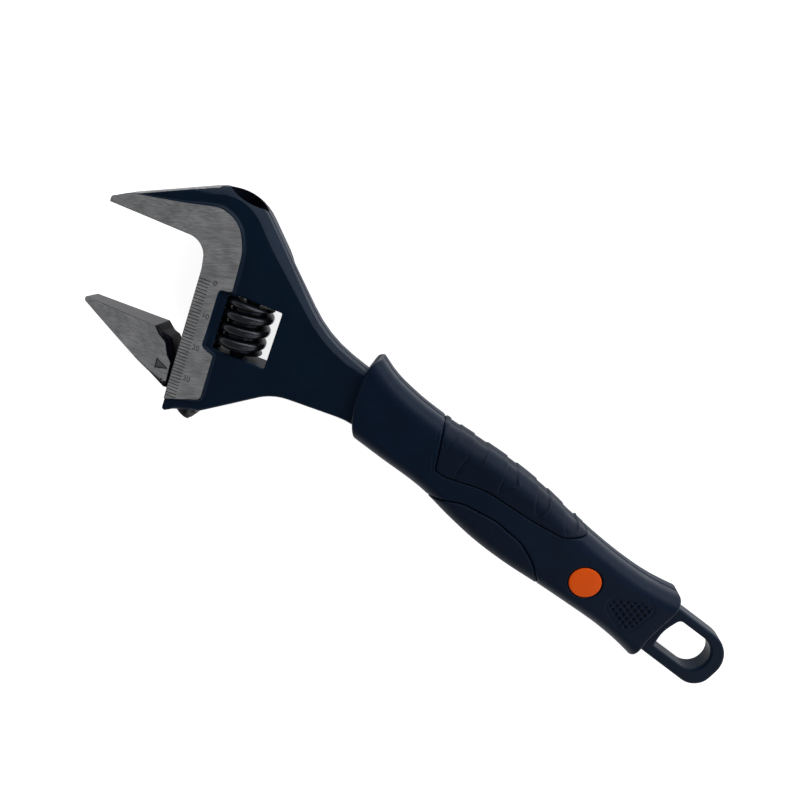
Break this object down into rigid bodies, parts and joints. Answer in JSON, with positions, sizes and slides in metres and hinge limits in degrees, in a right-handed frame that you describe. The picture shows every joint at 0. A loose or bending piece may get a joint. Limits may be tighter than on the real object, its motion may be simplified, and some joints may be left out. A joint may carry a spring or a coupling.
{
  "type": "adjustable wrench",
  "caption": "Wide-opening adjustable wrench with a worm-driven lower jaw, a millimetre scale on the head, a moulded two-material grip and a hang loop.",
  "frame": {"origin": "under the middle of the wrench's box, on the surface that the wrench lies on", "axes": "+X along the handle from the jaws to the hang loop; +Y towards the spine and the fixed jaw; +Z out of the face that carries the scale"},
  "size_m": [0.2306, 0.0678, 0.0158],
  "materials": {
    "coated_steel": "satin blue-black coating on drop-forged steel",
    "ground_steel": "ground faces with fine scratches",
    "worm_steel": "blackened steel, worn bright on the thread",
    "pin_steel": "blackened screw",
    "spring_steel": "drawn wire",
    "grip_hard": "moulded satin plastic",
    "grip_soft": "soft moulded elastomer",
    "badge_plastic": "orange inlay"
  },
  "bodies": {
    "wrench_body": {"body": "coated_steel", "worm_pin": "pin_steel", "worm_spring": "spring_steel", "grip_sleeve": "grip_hard", "grip_spine_pad": "grip_soft", "grip_belly_pad": "grip_soft", "grip_badge": "badge_plastic"},
    "knurl": {"worm": "worm_steel"},
    "lower_jaw": {"movable_jaw": "ground_steel"}
  },
  "joints": [
    {"name": "worm_spin", "type": "hinge", "parent": "wrench_body", "child": "knurl", "pos_m": [-0.06465, 0.00286, 0.0078], "axis": [-0.2756, 0.9613, 0], "range_deg": [-2557, 811]},
    {"name": "jaw_slide", "type": "slide", "parent": "wrench_body", "child": "lower_jaw", "axis": [0.2756, -0.9613, 0], "range_m": [-0.0284, 0.009]}
  ],
  "couplings": [
    {"joint": "worm_spin", "follows": "jaw_slide", "rad_per_m": 1570.8}
  ]
}
